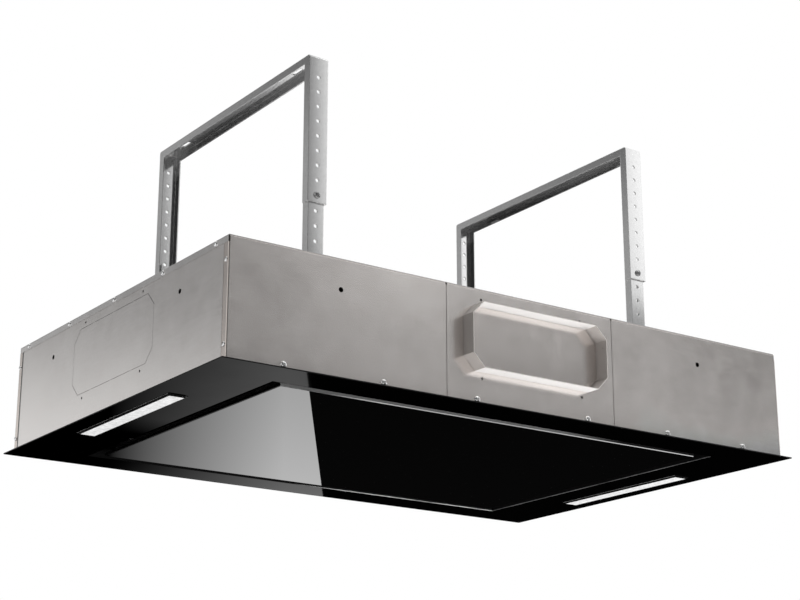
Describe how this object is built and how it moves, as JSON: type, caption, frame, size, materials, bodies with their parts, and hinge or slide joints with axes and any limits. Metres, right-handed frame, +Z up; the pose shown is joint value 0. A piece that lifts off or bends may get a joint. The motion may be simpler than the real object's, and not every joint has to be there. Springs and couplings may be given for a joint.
{
  "type": "built-in range hood",
  "caption": "Ceiling range hood: steel housing with flat duct outlet, black trim, hinged glass door, light strips, blower and telescoping ceiling brackets.",
  "frame": {"origin": "in the structural ceiling's plane, midway between the four fixing slots of the ceiling brackets", "axes": "+X along the hood's length, -Y towards the air outlet, +Z up; the hood hangs below the origin"},
  "size_m": [0.9, 0.61, 0.452],
  "materials": {
    "galvanised_steel": "satin galvanised sheet",
    "bracket_steel": "satin zinc plated",
    "black_paint": "gloss black",
    "black_glass": "opaque black toughened glass",
    "black_plastic": "matte",
    "opal_plastic": "opal diffuser",
    "board_white": "satin",
    "board_green": "lacquered board",
    "screw_zinc": "zinc plated",
    "screw_dark": "blackened steel",
    "aluminium": "mill finish",
    "fan_plastic": "glass-filled plastic",
    "motor_iron": "lacquered",
    "motor_winding": "varnished winding",
    "rubber": "matte",
    "bush_plastic": "natural",
    "polished_steel": "ground"
  },
  "bodies": {
    "ceiling_brackets": {"upper_bracket_left": "bracket_steel", "upper_bracket_right": "bracket_steel", "lock_screws": "screw_dark"},
    "housing": {"lower_bracket_left": "bracket_steel", "lower_bracket_right": "bracket_steel", "bracket_bolts": "screw_zinc", "cover_rails": "galvanised_steel", "top_cover": "galvanised_steel", "front_panel_left": "galvanised_steel", "front_panel_center": "galvanised_steel", "front_panel_right": "galvanised_steel", "back_panel": "galvanised_steel", "left_panel": "galvanised_steel", "right_panel": "galvanised_steel", "frame_screws": "screw_zinc", "cover_screws": "screw_zinc", "trim_frame": "black_paint", "hinge_brackets": "bracket_steel", "hinge_pins": "polished_steel", "catch_magnets": "black_plastic", "light_housing_left": "black_plastic", "light_housing_right": "black_plastic", "light_board_left": "board_white", "light_board_right": "board_white", "diffuser_left": "opal_plastic", "diffuser_right": "opal_plastic", "light_driver": "board_white", "carrier_plate": "galvanised_steel", "filter_rails": "galvanised_steel", "filter_frame_left": "aluminium", "filter_frame_right": "aluminium", "filter_mesh_left": "aluminium", "filter_mesh_right": "aluminium", "outlet_collar": "galvanised_steel", "flap_bushes": "bush_plastic", "volute_base": "galvanised_steel", "volute_wall": "galvanised_steel", "volute_top": "galvanised_steel", "motor_bearings": "polished_steel", "motor_stator": "motor_winding", "motor_screws": "screw_zinc", "blower_dampers": "rubber", "damper_studs": "screw_zinc", "damper_nuts": "screw_zinc", "control_box": "galvanised_steel", "control_box_lid": "galvanised_steel", "control_board": "board_green", "terminal_block": "board_white", "cable_gland": "black_plastic"},
    "glass_door": {"glass_panel": "black_glass", "panel_tray": "black_paint", "hinge_arms": "bracket_steel", "catch_strikes": "bracket_steel"},
    "fan_rotor": {"impeller": "fan_plastic", "motor_rotor": "motor_iron", "motor_shaft": "polished_steel"},
    "flap": {"backdraft_flap": "galvanised_steel", "flap_axle": "polished_steel"},
    "latch_left": {"filter_latch_left": "black_plastic"},
    "latch_right": {"filter_latch_right": "black_plastic"}
  },
  "joints": [
    {"name": "height_slide", "type": "slide", "parent": "ceiling_brackets", "child": "housing", "axis": [0, 0, 1], "range_m": [0, 0.1]},
    {"name": "door_hinge", "type": "hinge", "parent": "housing", "child": "glass_door", "pos_m": [0, 0.221, -0.433], "axis": [1, 0, 0], "range_deg": [0, 90]},
    {"name": "fan_spin", "type": "hinge", "parent": "housing", "child": "fan_rotor", "pos_m": [-0.05, -0.01, -0.37], "axis": [0, 0, 1], "continuous": true},
    {"name": "flap_swing", "type": "hinge", "parent": "housing", "child": "flap", "pos_m": [0, -0.286, -0.355], "axis": [-1, 0, 0], "range_deg": [0, 75]},
    {"name": "latch_left_slide", "type": "slide", "parent": "housing", "child": "latch_left", "axis": [-1, 0, 0], "range_m": [0, 0.005], "stiffness_N_per_m": 400},
    {"name": "latch_right_slide", "type": "slide", "parent": "housing", "child": "latch_right", "axis": [1, 0, 0], "range_m": [0, 0.005], "stiffness_N_per_m": 400}
  ]
}
